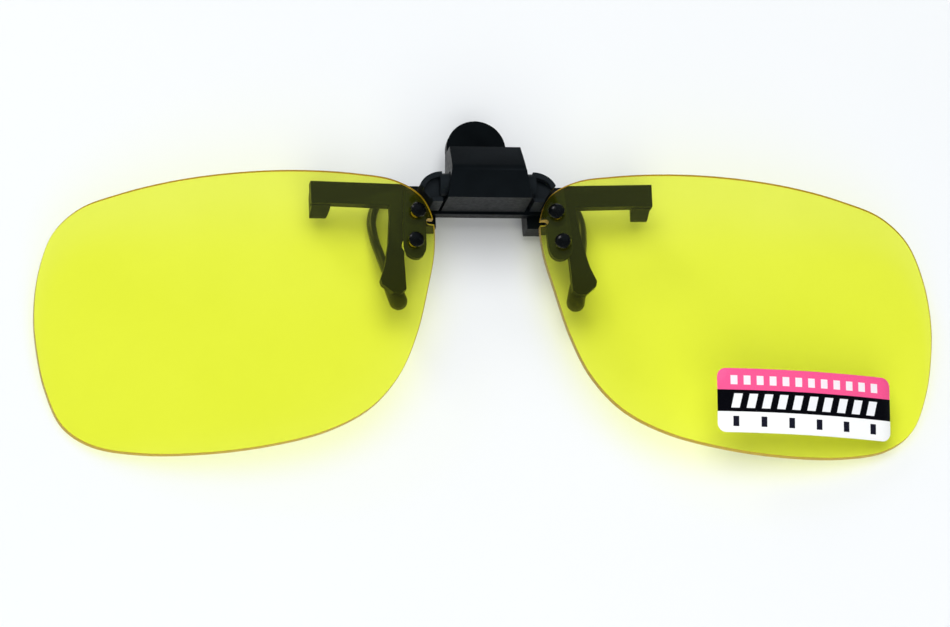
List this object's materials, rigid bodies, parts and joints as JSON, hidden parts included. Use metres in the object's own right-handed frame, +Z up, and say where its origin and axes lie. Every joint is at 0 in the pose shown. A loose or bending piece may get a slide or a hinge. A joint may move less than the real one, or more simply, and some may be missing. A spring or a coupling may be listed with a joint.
{
  "type": "clip-on flip-up spectacle lenses",
  "caption": "Flip-up tinted lens pair that pinches onto the front of a pair of spectacles, with a sprung rear jaw worked by a thumb disc and a detented flip hinge.",
  "frame": {"origin": "middle of the footprint, on the table the object lies on", "axes": "+X towards the wearer's lens that carries the label (the right-hand one in front view), +Y towards the thumb disc, +Z up from the table through the lens fronts"},
  "size_m": [0.135, 0.0548, 0.0156],
  "materials": {
    "black_plastic": "satin moulded black",
    "steel": "bright spring steel",
    "yellow_lens": "polished transparent yellow tint",
    "label": "printed film label in three plain bands",
    "arm_wire": "glossy black coated wire",
    "boot_rubber": "soft black rubber",
    "rivet_plastic": "glossy black dome",
    "washer_plastic": "natural nylon"
  },
  "bodies": {
    "clip_body": {"front_jaw": "black_plastic", "hinge_cover": "black_plastic", "detent_leaf_spring": "steel", "lever_pin": "steel"},
    "lens_carrier": {"lens_bridge": "black_plastic", "lens_label": "label", "lens_right": "yellow_lens", "rivet_upper_right": "rivet_plastic", "rivet_washer_upper_right": "washer_plastic", "rivet_lower_right": "rivet_plastic", "rivet_washer_lower_right": "washer_plastic", "lens_left": "yellow_lens", "rivet_upper_left": "rivet_plastic", "rivet_washer_upper_left": "washer_plastic", "rivet_lower_left": "rivet_plastic", "rivet_washer_lower_left": "washer_plastic"},
    "rear_jaw": {"thumb_lever": "black_plastic", "torsion_spring": "steel", "rear_arm_right": "arm_wire", "grip_boot_right": "boot_rubber", "rear_arm_left": "arm_wire", "grip_boot_left": "boot_rubber"}
  },
  "joints": [
    {"name": "lens_flip", "type": "hinge", "parent": "clip_body", "child": "lens_carrier", "pos_m": [0, 0.01334, 0.01233], "axis": [-1, 0, 0], "range_deg": [0, 110]},
    {"name": "thumb_lever", "type": "hinge", "parent": "clip_body", "child": "rear_jaw", "pos_m": [0, 0.01507, 0.0037], "axis": [1, 0, 0], "range_deg": [0, 18], "stiffness_Nm_per_rad": 0.03, "springref_deg": -20.05}
  ]
}
